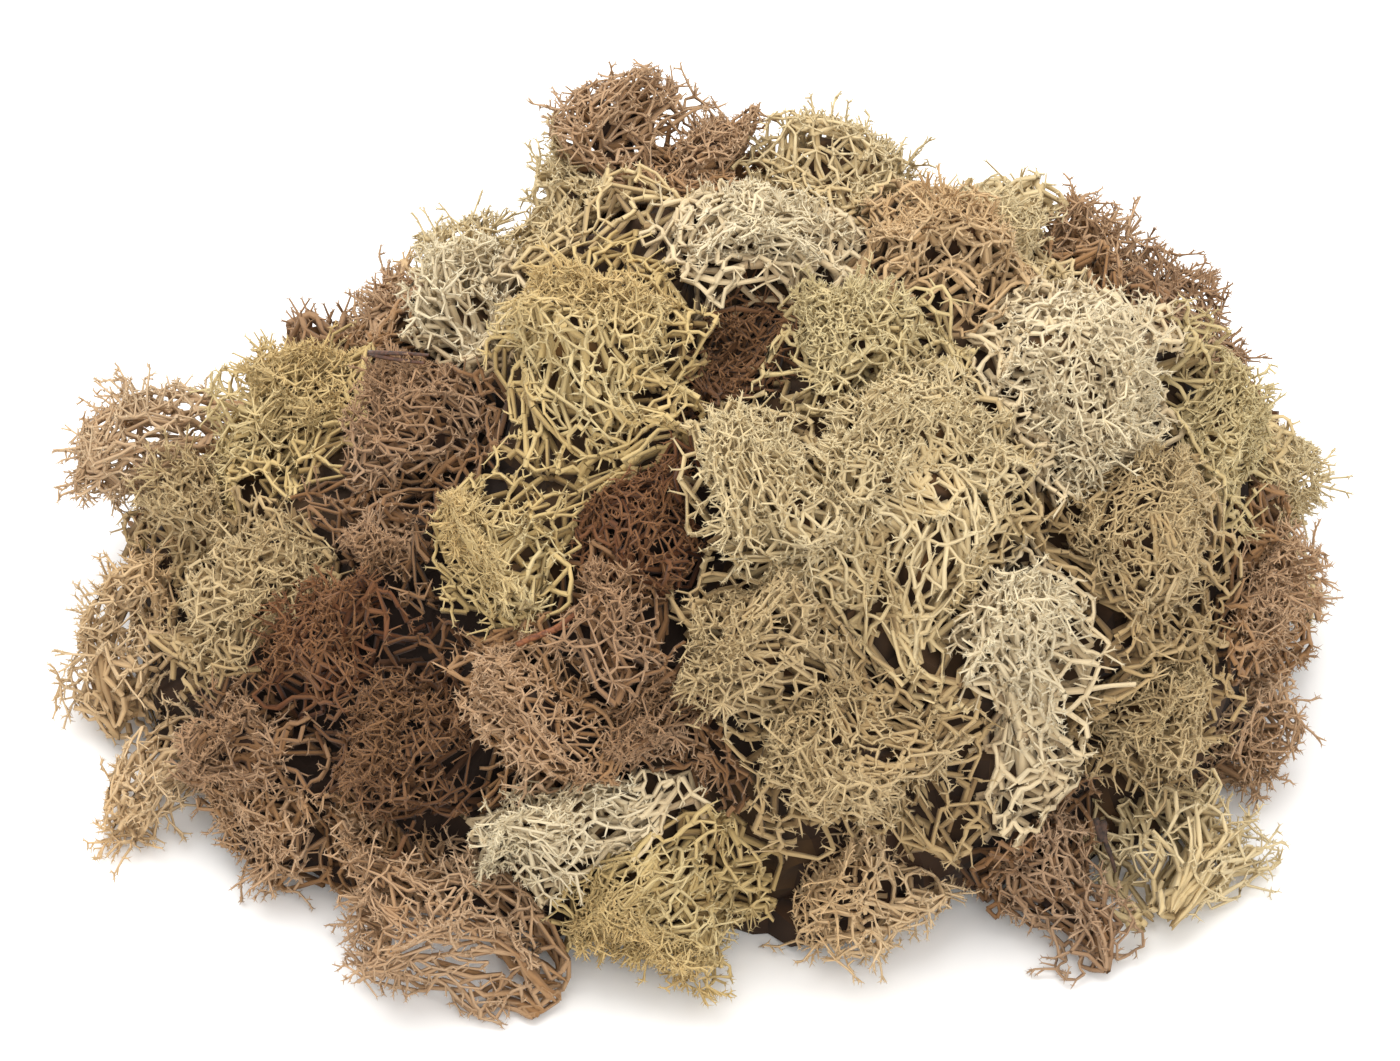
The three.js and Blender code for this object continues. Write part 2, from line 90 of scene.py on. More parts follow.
# Front tufts: node, crown across and up, crown radius, root across and up, how proud of the heap.
FRONT = [
    ("brown_peak", -10, 74, 8, -8, 54, 0),
    ("taupe_crest", 2, 69, 8, 2, 52, 0),
    ("cream_crest", 21, 63, 10.5, 17, 46, 0),
    ("pale_saddle", 9, 54, 8, 4, 42, 1),
    ("cream_spire", -18, 61, 8.5, -17, 42, 1),
    ("cream_spire", -34, 55, 5, -17, 42, 0),
    ("pale_shoulder", -33, 46, 8.5, -25, 33, 1),
    ("brown_shoulder", -46, 44, 6, -40, 33, 0),
    ("gold_dome", -59, 28, 12.5, -73, 6, 3),
    ("left_spray", -84, 25, 9, -71, 26, 0),
    ("cream_flank", -75, 16, 7.5, -77, -6, 1),
    ("cream_flank", -64, 4, 8, -77, -6, 2),
    ("left_stalks", -83, 1, 7, -84, -18, 0),
    ("left_stalks", -88, -13, 5, -84, -18, 0),
    ("left_corner", -81, -25, 7, -66, -20, 0),
    ("taupe_left", -65, -19, 9.5, -54, -23, 1),
    ("rust_left", -53, -4, 9, -46, -12, 1),
    ("brown_net", -43, -17, 10, -34, -19, 0),
    ("centre_crown", -15, 39, 11.5, -12, 16, 4),
    ("grey_hollow", -39, 27, 11, -33, 15, -4),
    ("grey_hollow", -47, 10, 6.5, -33, 15, -1),
    ("small_gold", -28, 11, 7.5, -15, 6, 3),
    ("rust_heart", -7, 10, 8, -3, -1, -7),
    ("dark_hollow", 7, 33, 11, 9, 20, -11),
    ("green_crown", 22, 39, 9.5, 27, 24, 3),
    ("tan_bridge", 35, 52, 9, 34, 36, 0),
    ("front_crown", 10, 20, 9, 34, -13, 6),
    ("front_crown", 30, 21, 12.5, 34, -13, 6),
    ("front_curtain", 7, -4, 9, 35, -27, 4),
    ("front_curtain", 22, -19, 10, 35, -27, 4),
    ("front_side_spray", 46, -2, 8, 46, -34, 5),
    ("weeping_pale", 55, 30, 12.5, 40, 42, 5),
    ("far_cream", 45, 57, 6, 46, 45, 0),
    ("brown_crest", 58, 53, 7.5, 56, 41, 0),
    ("taupe_right", 70, 42, 10, 63, 27, 0),
    ("cream_right", 74, 26, 9, 64, 14, 0),
    ("gold_right", 63, 13, 11, 63, -12, 4),
    ("rim_cream", 86, 17, 8.5, 76, 8, 0),
    ("brown_right", 80, 2, 11, 70, -4, 1),
    ("brown_right_low", 80, -18, 7.5, 70, -15, 0),
    ("tan_right_low", 65, -15, 9, 58, -26, 1),
    ("right_low_spray", 66, -30, 9, 70, -43, 1),
    ("right_low_spray", 76, -37, 6, 70, -43, 0),
    ("brown_low_right", 50, -36, 9, 57, -48, 1),
    ("bottom_gold", -6, -40, 12, 5, -30, 3),
    ("bottom_gold", -4, -51, 5.5, 5, -30, 1),
    ("pale_bottom", -19, -28, 9.5, -4, -24, 2),
    ("bottom_fringe", 21, -40, 8, 36, -38, 0),
    ("bottom_spray", -40, -44, 12.5, -22, -50, 1),
    ("tan_tangle", -22, -14, 11, -24, -28, 1),
    ("taupe_tangle", -5, -13, 9, -1, -18, 0),
    ("taupe_tangle", -13, 0, 6, -1, -18, 1),
    ("taupe_low_left", -63, -32, 8, -50, -29, 0),
    ("taupe_low_left", -47, -34, 7, -50, -29, 0),
]

# Back tufts, the same, as seen from behind with +X still counted as across.
BACK = [
    ("back_left", -72, -10, 10, -54, -4, 0),
    ("back_left", -56, 4, 8, -54, -4, 0),
    ("back_left_low", -56, -26, 12, -42, -22, 0),
    ("back_left_shoulder", -38, 4, 11, -34, -4, 0),
    ("back_low", -29, -32, 12, -22, -22, 0),
    ("back_brown", -21, -10, 12, -14, -14, 0),
    ("back_brown", -13, 12, 8, -14, -14, 0),
    ("back_pale", 0, -34, 12, 2, -24, 0),
    ("back_tan", 6, -9, 12, 7, -12, 0),
    ("back_cream", 28, -33, 12, 24, -22, 0),
    ("back_taupe", 33, -8, 12, 28, -14, 0),
    ("back_taupe", 22, 13, 8, 28, -14, 0),
    ("back_right", 58, -8, 12, 48, -14, 0),
    ("back_right", 46, 13, 7, 48, -14, 0),
    ("back_right_low", 55, -32, 11, 46, -24, 0),
    ("back_corner", 80, -18, 10, 64, -16, 0),
]

# Litter: node, girth, ends across and up, how proud.
LITTER = {
    "pine_needles": (1, (-48.5, 38.5), (-39.5, 37.5), 0.5),
    "rusty_twig": (1, (-26, -4), (-17.5, 0.5), -1),
    "bark_flake": (1.2, (57.5, -29), (60, -37), 0),
}
OLD_STEMS_MIDDLE = (2, -12, 0)
OLD_STEMS_RADIUS = 16
OLD_STEMS_HEIGHT = 20


def unit(vectors):
    return vectors / np.maximum(np.linalg.norm(vectors, axis=-1, keepdims=True), 1e-9)


def heap_level(points, inset=0.0):
    """Below 1 inside the heap drawn in by inset, 1 on its surface."""
    x, y, z = points[..., 0], points[..., 1], points[..., 2]
    taper = 1 - TAPER_PER_MM * np.maximum(0, TAPER_FROM - x)
    depth = np.where(y < 0, FRONT_DEPTH, BACK_DEPTH * taper) - inset
    section = np.hypot(y / depth, z / (HEIGHT * taper - inset))
    return (np.abs(x) / (HALF_WIDTH - inset)) ** PLAN_POWER + section ** PLAN_POWER


def drop_on_heap(across, up, side, inset, proud):
    """Where a line square to the leaning drawing plane first meets the heap or passes nearest."""
    rise = np.array([0, side * math.sin(LEAN), math.cos(LEAN)])
    out = np.array([0, -side * math.cos(LEAN), math.sin(LEAN)])
    heights = np.arange(HALF_WIDTH * 1.5, -HALF_WIDTH, -DROP_STEP)
    points = np.array([across, 0, 0]) + up * rise + heights[:, None] * out
    levels = heap_level(points, inset)
    inside = np.flatnonzero(levels <= 1)
    nearest = inside[0] if len(inside) else int(np.argmin(levels))
    return points[nearest] + proud * out


def clear_of_ground(point, height, side):
    """Lifted to at least height along the drawing plane's line of sight."""
    if point[2] < height:
        point[1] += side * (point[2] - height) / math.tan(LEAN)
        point[2] = height
    return point


def settled(points):
    """Pressed back towards the heap where they stand out of it, by the weight of what lay on them."""
    over = np.maximum(heap_level(points), 1) ** (1 / PLAN_POWER)
    return points * ((1 + LEFT_STANDING * (over - 1)) / over)[:, None]


def unsettled(points):
    """Where settled points came from."""
    over = np.maximum(heap_level(points), 1) ** (1 / PLAN_POWER)
    return points * ((1 + (over - 1) / LEFT_STANDING) / over)[:, None]


def waves(points, length, seed):
    """Smooth noise about 0, the same for all that lies at one place, with bumps length apart."""
    rng = np.random.default_rng(seed)
    ways = unit(rng.normal(size=(NOISE_WAVES, 3))) * rng.uniform(0.7, 1.4, (NOISE_WAVES, 1))
    phases = rng.uniform(0, 2 * math.pi, NOISE_WAVES)
    return np.sin(points @ ways.T * (2 * math.pi / length) + phases).sum(-1) / math.sqrt(NOISE_WAVES)


class Tuft:
    """A round form that widens from its root to its crown."""

    def __init__(self, node, number, root, crown, root_radius, radius, proud=0):
        self.node, self.number, self.proud = node, number, proud
        self.is_settled = proud <= 0 and node not in STANDING_OUT
        self.root, self.crown = root, crown
        self.root_radius, self.radius = root_radius, radius
        self.length = float(np.linalg.norm(crown - root))
        self.along = (crown - root) / self.length
        beside = np.cross([0, 0, 1], self.along)
        self.across = unit(beside if np.linalg.norm(beside) > 0.1 else np.array([1.0, 0, 0]))
        self.upward = np.cross(self.along, self.across)
        self.neighbours = []

    def girth(self, height):
        share = np.clip(height / self.length, 0, 1)
        return self.root_radius + share ** FLARE * (self.radius - self.root_radius)

    def anchors(self, points):
        """The nearest points of the axis, and their heights."""
        heights = np.clip((points - self.root) @ self.along, 0, self.length)
        return self.root + heights[:, None] * self.along, heights

    def depth(self, points):
        """How deep inside the form, as it has settled, each point lies, below 0 outside it."""
        if self.is_settled:
            points = unsettled(points)
        anchors, heights = self.anchors(points)
        return self.girth(heights) - np.linalg.norm(points - anchors, axis=1)

    def buried(self, points):
        """How deep inside the deepest of its neighbours each point lies.  The border between two
        tufts is ragged: each reaches into the other in turn."""
        ragged = RAGGED * waves(points, RAGGED_LENGTH, RAGGED_SEED)
        deepest = np.full(len(points), -math.inf)
        for other in self.neighbours:
            turn = 1 if self.number < other.number else -1
            deepest = np.maximum(deepest, other.depth(points) - turn * ragged)
        return deepest


roots = {}
tufts = []
for rows, side in ((FRONT, 1), (BACK, -1)):
    for node, across, up, stated, root_across, root_up, proud in rows:
        radius = SWELL * stated
        crown = drop_on_heap(across, up, side, SINK * radius, proud)
        crown = clear_of_ground(crown, CROWN_CLEAR * radius, side)
        if node not in roots:
            root = drop_on_heap(root_across, root_up, side, SINK * radius + ROOT_DEPTH, proud)
            roots[node] = clear_of_ground(root, ROOT_RADIUS, side)
        tufts.append(Tuft(node, len(tufts), roots[node], crown, ROOT_RADIUS, radius, proud))
old_root = np.array(OLD_STEMS_MIDDLE, float)
old_crown = old_root + np.array([0, 0, OLD_STEMS_HEIGHT])
tufts.append(Tuft("old_stems", len(tufts), old_root, old_crown, OLD_STEMS_RADIUS, OLD_STEMS_RADIUS))
for tuft in tufts:
    for other in tufts:
        apart = np.linalg.norm((tuft.root + tuft.crown - other.root - other.crown) / 2)
        reach = tuft.radius + other.radius + (tuft.length + other.length) / 2
        if other is not tuft and apart < reach:
            tuft.neighbours.append(other)
litter = {
    node: Tuft(node, -1, drop_on_heap(*start, 1, 0, proud), drop_on_heap(*end, 1, 0, proud), girth, girth)
    for node, (girth, start, end, proud) in LITTER.items()
}

# Cream tufts, the best preserved ones.  The lichen is a hollow felted twig that forks every millimetre
# or two, and its branches tangle, so that a tuft looks like a lace with open meshes.  Last short twigs
# that end in small stars of points grow out of it.
MM = 0.001
BOX_MARGIN = 0.3
KNOT_MARGIN = 1.3
GOLDEN_ANGLE = math.pi * (3 - math.sqrt(5))
THIRD = 2 * math.pi / 3
ODD_WAY = np.array([0.31, 0.87, 0.39])
TUFT_SEED = 1000
TINT_CHANCE = 0.012

# Noise in a tuft's shape: length and height of each sway, then length, height and seed of each lump.
SWAYS = ((26, 2.4), (10, 1.1))
LUMPS = ((9, 0.9, 1), (4.5, 0.7, 2), (2.4, 0.3, 3))

# A tuft's outline in rings over its round cap and down its side, the shares of its length that count
# as flank and as top, and the area that an evenly spread point takes.
CAP_RINGS = 24
SIDE_RINGS = 12
FLANK_SHARE = 0.8
TOP_SHARE = 0.2
EVEN_AREA = 0.87

# Patches of age and of tone: how far apart they lie, and seed.  Then the age of the tips, and the age and
# tone of the ones between tufts, whose lower age is painted shade.
AGE_PATCHES = (8, 3)
TONE_PATCHES = (9, 4)
TIP_AGE = 0.95
FILL_TIP_AGE_AND_SHADE = 0.75
FILL_TONE = 0.2

# Where a tuft shows between its neighbours, above the heap's floor.
OVERLAP = 1.2
CHOKED = 3
CHOKED_SHARE = 0.4
# How near a neighbouring tuft the painted shade on a tuft's lace and tips begins.
SHADED_WITHIN = 4.0
GROUND = 0.7
LOWEST_FACING = -0.78

# The lace.  Its layers: how deep, how much coarser and thicker than a plain one, and age from 0 to 1, lower
# for the deeper layers: partly older, browner twigs and partly painted shade.
NET_COARSER = 1.35
NET_LAYERS = ((1.3, 1.0, 0.95, 0.72), (2.7, 1.15, 1.1, 0.62), (4.1, 1.3, 1.4, 0.48))
OPEN_LAYERS = 2
NEIGHBOURS = 9
TIGHTNESS = 0.98
LONGEST = 2.4
LOOSE_SHARE = 0.2
BOWED = 1.9
JITTER = 0.28
TWIG_SHARE = 0.155

# The lace in the gaps between tufts, darker than the tufts' own as painted shade.  Its layers: how much
# deeper, how far apart, and age, lower for the deeper ones: partly older twigs and partly painted shade.
FILL_INSET = 4.5
FILL_OVERLAP = 1.3
FILL_TIPS = 1.9
FILL_NETS = ((1.1, 2.2, 0.48), (2.6, 2.5, 0.36), (4.2, 3.0, 0.26))
FILL_FLOOR = 1.6
FILL_GIRTH = 1.2
FILL_SEED = 5
RECESS_BLEND = 2.5
HALVINGS = 24
HEAP_AREA = 3.2
FINER = 4

# The last twigs.  A star's foot, fork and top are shares of its radius, and its points lean out.
TIP_REACH = 4.0
STAR_REACH = 0.72
STAR_RADIUS = 0.145
STAR_FOOT = 1.4
STAR_FORK = 0.95
STAR_TOP = 0.6
STAR_LEAN = 0.8

# The sprigs and the long stems.
SPRIG_LENGTH = 3.2
SPRIG_TAPER = np.array([1.8, 1.5, 1.1])
STEM_INSET = 1.3
STEM_APART = 2.0
STEM_BEND = 0.45
STEM_WAVER = 0.7
STEM_WAVER_LENGTH = 11
STEM_WAVER_SEED = 60
STEM_TONE = 0.2
STEM_FOOT_FLOOR = 1.5
STEM_FLOOR = 1.0
STEM_TAPER = np.array([0.2, 0.8, 0.9, 0.8, 0.7, 0.55, 0.4])

# The dead middle of a tuft, and the imported old growth under them all, both painted near black as deep
# shade.
HEART_SIDES = 16
HEART_RINGS = 12
HEART_INSET = 5.3
HEART_STEP = 1.0
HEART_REACH = 60
HEART_BULGE = 1.22
HEART_EASE = 0.5
HEART_FLOOR = 1.2
CORE_AROUND = 120
CORE_UP = 30
CORE_INSET = 11.0
CORE_ROUGH = 0.015
CORE_SEED = 9
box_low = np.array(cad_box[0]) / MM + BOX_MARGIN
box_high = np.array(cad_box[1]) / MM - BOX_MARGIN


def sway(points):
    """A smooth random shift of each place, so that nothing stays round."""
    return points + sum(amount * np.stack([waves(points, length, 10 * length + i) for i in range(3)], -1)
                        for length, amount in SWAYS)


def within_box(points):
    """Held far enough inside the part's own box for the twigs that grow on."""
    return np.clip(points, box_low + MIDDLE + KNOT_MARGIN, box_high + MIDDLE - KNOT_MARGIN)


class Twigs:
    """A growing surface: points, each with its age along the twig, lowered where shade is painted, and its
    tone, and triangles.
    """

    def __init__(self, rng):
        self.points, self.tints, self.faces = [], [], []
        self.count = 0
        self.rng = rng

    def add(self, points, ages_and_shade, tones):
        """Adds points with their ages, painted shade included, and tones, each a hair off by chance, and
        gives their numbers.
        """
        ids = self.count + np.arange(points[..., 0].size).reshape(points.shape[:-1])
        self.count += ids.size
        self.points.append(points.reshape(-1, 3))
        tints = np.stack([np.broadcast_to(ages_and_shade, ids.shape), np.broadcast_to(tones, ids.shape)], -1)
        self.tints.append(tints.reshape(-1, 2) + self.rng.uniform(-TINT_CHANCE, TINT_CHANCE, (ids.size, 2)))
        return ids

    def face(self, a, b, c):
        self.faces.append(np.stack(np.broadcast_arrays(a, b, c), -1).reshape(-1, 3))

    def tubes(self, paths, radii, ages_and_shade, tones):
        """Three-sided twigs, each along its own path of a few places, with their ends in a knot."""
        ways = unit(np.gradient(paths, axis=1))
        side = unit(np.cross(ways, ODD_WAY))
        other = np.cross(ways, side)
        angles = THIRD * np.arange(3)[:, None]
        spread = np.cos(angles) * side[:, :, None] + np.sin(angles) * other[:, :, None]
        skin = paths[:, :, None] + radii[:, :, None, None] * spread
        ids = self.add(skin, ages_and_shade[..., None], tones[..., None])
        low, high = ids[:, :-1], ids[:, 1:]
        for i in range(3):
            j = (i + 1) % 3
            self.face(low[..., i], low[..., j], high[..., j])
            self.face(low[..., i], high[..., j], high[..., i])

    def stars(self, feet, forks, radius, ages_and_shade, ends, tones):
        """Last twigs from their feet to their forks, each of which ends in three points."""
        rng = self.rng
        ways = unit(forks - feet)
        aims = unit(ways + rng.normal(0, 0.25, ways.shape))
        side = unit(np.cross(aims, rng.normal(size=aims.shape)))
        other = np.cross(aims, side)
        angles = THIRD * np.arange(3)[:, None]
        spread = np.cos(angles) * side[:, None] + np.sin(angles) * other[:, None]
        low = self.add(feet[:, None] + STAR_FOOT * radius * spread, ages_and_shade[:, None], tones[:, None])
        high = self.add(forks[:, None] + STAR_FORK * radius * spread, ends[:, None] - 0.08, tones[:, None])
        apex = self.add(forks + STAR_TOP * radius * aims, ends - 0.05, tones)
        points_out = unit(spread + np.roll(spread, -1, axis=1))
        reach = STAR_REACH * rng.uniform(0.65, 1.3, (len(feet), 3, 1))
        rise = rng.uniform(0.3, 0.9, (len(feet), 3, 1))
        reached = forks[:, None] + reach * (rise * aims[:, None] + STAR_LEAN * points_out)
        tips = self.add(reached, ends[:, None], tones[:, None])
        for i in range(3):
            j = (i + 1) % 3
            self.face(low[:, i], low[:, j], high[:, j])
            self.face(low[:, i], high[:, j], high[:, i])
            self.face(high[:, i], high[:, j], tips[:, i])
            self.face(high[:, j], apex, tips[:, i])
            self.face(apex, high[:, i], tips[:, i])


def tree_of(points):
    tree = KDTree(len(points))
    for i, point in enumerate(points):
        tree.insert(point, i)
    tree.balance()
    return tree


def lace_pairs(points, longest):
    """The pairs of points with no third one nearer to both, which make a lace with open meshes."""
    if len(points) <= NEIGHBOURS:
        return np.zeros((0, 2), int)
    tree = tree_of(points)
    found = np.array([[(far, i) for _, i, far in tree.find_n(point, NEIGHBOURS + 1)] for point in points])
    far, near = found[:, 1:, 0], found[:, 1:, 1].astype(int)
    between = np.linalg.norm(points[near][:, :, None] - points[near][:, None], axis=3)
    nearer = np.maximum(far[:, None], between) < TIGHTNESS * far[:, :, None]
    starts, picks = np.nonzero(~nearer.any(2) & (far < longest))
    pairs = np.stack([starts, near[starts, picks]], 1)
    return np.unique(np.sort(pairs, axis=1), axis=0)


def form_points(tuft, fine, coarse, rng):
    """Even points over a tuft's form, fine apart on top and coarse apart on its flanks: place,
    outward normal, nearness to the crown's top and distance apart."""
    theta = np.linspace(0, math.pi / 2, CAP_RINGS)
    down = np.linspace(tuft.length, 0, SIDE_RINGS)[1:]
    heights = np.append(tuft.length + tuft.radius * np.cos(theta), down)
    widths = np.append(tuft.radius * np.sin(theta), tuft.girth(down))
    tops = (heights - FLANK_SHARE * tuft.length) / (TOP_SHARE * tuft.length + tuft.radius)
    tops = np.clip(tops, 0, 1)
    tops = tops * tops * (3 - 2 * tops)
    spacing = (coarse + (fine - coarse) * tops)[1:]
    strips = np.hypot(np.diff(heights), np.diff(widths)) * math.pi * (widths[1:] + widths[:-1])
    counts = np.append(0, np.cumsum(strips / (EVEN_AREA * spacing ** 2)))
    order = np.arange(int(counts[-1])) + 0.5
    height, width, top = (np.interp(order, counts, values) for values in (heights, widths, tops))
    angle = order * GOLDEN_ANGLE + tuft.number
    around = np.cos(angle)[:, None] * tuft.across + np.sin(angle)[:, None] * tuft.upward
    points = tuft.root + height[:, None] * tuft.along + width[:, None] * around
    local = coarse + (fine - coarse) * top
    points += rng.normal(0, JITTER, points.shape) * local[:, None]
    return points, unit(points - tuft.anchors(points)[0]), top, local


def bare_points(tuft, inset, fine, coarse, rng, is_open=False, bare_stem=0.0, is_tip=False):
    """The points of a tuft's form, drawn in by inset, that its neighbours and the heap leave bare.
    The last twigs are fewer where they face a neighbour close by."""
    points, normals, top, local = form_points(tuft, fine, coarse, rng)
    bare = tuft.anchors(points)[1] >= bare_stem * tuft.length
    if tuft.is_settled:
        points = settled(points)
    points = points - inset * normals
    sunk = FILL_INSET + inset + FILL_OVERLAP + max(0, -tuft.proud)
    bare &= (tuft.buried(points) - inset < OVERLAP) & (points[:, 2] > GROUND)
    bare &= is_open | (normals[:, 2] > LOWEST_FACING)
    bare &= is_open | (heap_level(points, sunk) > 1)
    if is_tip:
        is_kept = rng.uniform(size=len(points)) < CHOKED_SHARE
        bare &= (tuft.buried(points + CHOKED * normals) < 0) | is_kept
    return points[bare], normals[bare], top[bare], local[bare]


def lumpy(points, normals):
    """Raised and sunk by a millimetre or so along the normals, swayed and held within the box."""
    lumps = sum(size * waves(points, length, seed) for length, size, seed in LUMPS)
    return within_box(sway(points + lumps[:, None] * normals))


def grow_net(twigs, tuft, bare, ages_and_shade, tones, girth, stretch, is_bowed=True):
    """Joins the bare points by twigs in a lace.  Gives the places on it that more can grow from, with their
    ages and painted shade."""
    rng = twigs.rng
    points, normals, _, local = bare
    radii = TWIG_SHARE * girth * local * rng.uniform(0.75, 1.3, len(points))
    squeezed = points - (1 - stretch) * ((points - tuft.root) @ tuft.along)[:, None] * tuft.along
    pairs = lace_pairs(squeezed, LONGEST * local.max(initial=0))
    crowded = (np.bincount(pairs.ravel(), minlength=len(points))[pairs] > 2).all(1)
    pairs = pairs[~crowded | (rng.uniform(size=len(pairs)) > LOOSE_SHARE)]
    points = lumpy(points, normals)
    spans = np.linalg.norm(points[pairs[:, 0]] - points[pairs[:, 1]], axis=1)
    middles = points[pairs].mean(1) + spans[:, None] * (
        rng.normal(0, 0.1, (len(pairs), 3)) + 0.06 * normals[pairs[:, 0]])
    is_long = is_bowed & (spans > BOWED)
    first, second = pairs[is_long].T
    twigs.tubes(np.stack([points[first], middles[is_long], points[second]], 1),
                np.stack([radii[first], 0.4 * (radii[first] + radii[second]), radii[second]], 1),
                np.stack([ages_and_shade[first], (ages_and_shade[first] + ages_and_shade[second]) / 2, ages_and_shade[second]], 1),
                np.stack([tones[first], (tones[first] + tones[second]) / 2, tones[second]], 1))
    short = pairs[~is_long]
    twigs.tubes(points[short], radii[short], ages_and_shade[short], tones[short])
    return np.concatenate([points, middles]), np.concatenate([ages_and_shade, ages_and_shade[pairs].mean(1)])


def grow_tips(twigs, points, normals, ends, tones, places, girth, sprigs=0.0):
    """Last twigs from the nearest places of a net out to the points, each with a star at its end.
    The given share of them are sprigs that reach further and fork again."""
    rng = twigs.rng
    if len(points) == 0 or len(places[0]) == 0:
        return
    tree = tree_of(places[0])
    points = lumpy(points, normals)
    found = [tree.find(point) for point in points]
    near = np.array([distance for _, _, distance in found]) < TIP_REACH
    of = np.array([index for _, index, _ in found])[near]
    points, ends, tones = points[near], ends[near], tones[near]
    feet, ages_and_shade = places[0][of], places[1][of]
    twigs.stars(feet, points, STAR_RADIUS * girth, ages_and_shade, ends, tones)
    picked = rng.uniform(size=len(points)) < sprigs
    starts, bends = feet[picked], points[picked]
    ages_and_shade, ends, tones = ages_and_shade[picked], ends[picked], tones[picked]
    aims = unit(bends - starts + rng.normal(0, 0.5, starts.shape))
    reached = within_box(bends + SPRIG_LENGTH * rng.uniform(0.5, 1.0, (len(bends), 1)) * aims)
    shares = np.broadcast_to(SPRIG_TAPER, (len(bends), 3))
    twigs.tubes(np.stack([starts, bends, reached], 1), STAR_RADIUS * girth * shares,
                np.stack([ages_and_shade, (ages_and_shade + ends) / 2, ends], 1), np.stack([tones] * 3, 1))
    for places_from in (reached, reached, 0.4 * bends + 0.6 * reached, bends):
        ways = unit(aims + rng.normal(0, 0.7, aims.shape))
        twigs.stars(places_from, places_from + rng.uniform(0.6, 1.3, (len(bends), 1)) * ways,
                    STAR_RADIUS * girth, ages_and_shade, ends, tones)


def level_places(aims, inset):
    """Where rays from the heap's middle pass through the heap drawn in by inset."""
    low, high = np.zeros(aims.shape[:-1]), np.full(aims.shape[:-1], 2.0 * HALF_WIDTH)
    for _ in range(HALVINGS):
        middle = (low + high) / 2
        inside = heap_level(aims * middle[..., None], inset) < 1
        low, high = np.where(inside, middle, low), np.where(inside, high, middle)
    return aims * low[..., None]


def recess_at(points):
    """The tuft that each point belongs to, and how far the heap's surface is sunk there."""
    depths = np.array([tuft.depth(points) for tuft in tufts])
    weights = np.exp((depths - depths.max(0)) / RECESS_BLEND)
    sunk = np.array([max(0, -tuft.proud) for tuft in tufts])
    return depths.argmax(0), (weights * sunk[:, None]).sum(0) / weights.sum(0)


def heap_points(inset, spacing):
    """Even points over the heap drawn in, where no tuft's form covers it: place, outward normal
    and the tuft that each belongs to."""
    number = int(HEAP_AREA * HALF_WIDTH * (FRONT_DEPTH + BACK_DEPTH) / spacing ** 2)
    order = np.arange(FINER * number) + 0.5
    rise = order / (FINER * number)
    angle = order * GOLDEN_ANGLE
    flat = np.sqrt(1 - rise ** 2)
    aims = np.stack([flat * np.cos(angle), flat * np.sin(angle), rise], 1)
    points = level_places(aims, inset)
    weight = np.cumsum((points ** 2).sum(1))
    picks = np.searchsorted(weight, (np.arange(number) + 0.5) / number * weight[-1])
    points, aims = points[picks], aims[picks]
    owner, recess = recess_at(points)
    points = points - aims * recess[:, None]
    points += np.random.default_rng(FILL_SEED).normal(0, JITTER * spacing, points.shape)
    bare = np.max([tuft.depth(points) for tuft in tufts], axis=0) < OVERLAP + inset - FILL_INSET
    bare &= points[:, 2] > FILL_FLOOR
    return points[bare], aims[bare], owner[bare]


def core_patches():
    """An uneven skin deep under the heap's surface, as four-cornered patches, each with its tuft."""
    around, up = np.meshgrid(np.linspace(0, 2 * math.pi, CORE_AROUND, endpoint=False),
                             np.linspace(0, math.pi / 2, CORE_UP), indexing="ij")
    rays = np.stack([np.cos(around) * np.cos(up), np.sin(around) * np.cos(up), np.sin(up)], -1)
    places = level_places(rays, CORE_INSET)
    owner, recess = (values.reshape(around.shape) for values in recess_at(places.reshape(-1, 3)))
    places -= rays * recess[..., None]
    rough = np.random.default_rng(CORE_SEED).uniform(1 - CORE_ROUGH, 1 + CORE_ROUGH, around.shape)
    places *= rough[..., None]
    places[..., 2] = np.maximum(places[..., 2], GROUND)
    turned = np.roll(places, -1, 0)
    corners = [places[:, :-1], turned[:, :-1], turned[:, 1:], places[:, 1:]]
    return np.stack(corners, 2).reshape(-1, 4, 3), owner[:, :-1].ravel()


fill_nets = [(*heap_points(FILL_INSET + deeper, apart), apart, age_and_shade) for deeper, apart, age_and_shade in FILL_NETS]
fill_tips = heap_points(FILL_INSET, FILL_TIPS)
core, core_owner = core_patches()


